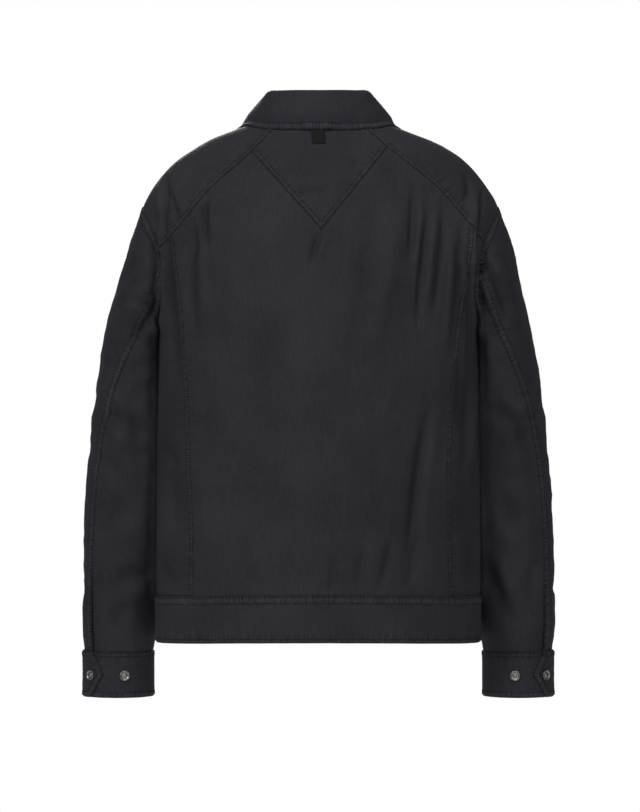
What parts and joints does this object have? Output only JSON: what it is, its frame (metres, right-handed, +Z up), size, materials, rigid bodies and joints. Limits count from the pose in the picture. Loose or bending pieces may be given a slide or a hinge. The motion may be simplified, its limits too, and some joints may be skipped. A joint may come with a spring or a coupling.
{
  "type": "trucker jacket",
  "caption": "Hip-length trucker jacket, filled out as worn, with turned-down collar, pointed back yoke, shoulder yokes, waistband and snap cuffs.",
  "frame": {"origin": "between the wearer's shoulders at the base of the neck, level with the shoulder line where it meets the collar, which is where the wearer holds the jacket up", "axes": "+Z up along the wearer's height, -Y the way the wearer faces, +X to the wearer's left"},
  "size_m": [0.6158, 0.2728, 0.7801],
  "materials": {
    "cloth": "washed cotton poplin, matt with a slight sheen",
    "snap_metal": "dark pewter",
    "tab_cloth": "black woven tape"
  },
  "bodies": {
    "root": {"back_panel": "cloth", "back_yoke": "cloth", "shoulder_yoke_left": "cloth", "back_side_left": "cloth", "front_left": "cloth", "shoulder_yoke_right": "cloth", "back_side_right": "cloth", "front_right": "cloth", "front_placket": "cloth", "waistband": "cloth", "collar_stand": "cloth", "collar_fall": "cloth", "upper_sleeve_left": "cloth", "under_sleeve_left": "cloth", "cuff_left": "cloth", "upper_sleeve_right": "cloth", "under_sleeve_right": "cloth", "cuff_right": "cloth", "neck_tab": "tab_cloth", "cuff_snap_left": "snap_metal", "cuff_stud_left": "snap_metal", "cuff_snap_right": "snap_metal", "cuff_stud_right": "snap_metal", "front_snap_1": "snap_metal", "front_snap_2": "snap_metal", "front_snap_3": "snap_metal", "front_snap_4": "snap_metal", "front_snap_5": "snap_metal", "front_snap_6": "snap_metal", "waistband_snap": "snap_metal"}
  },
  "joints": []
}
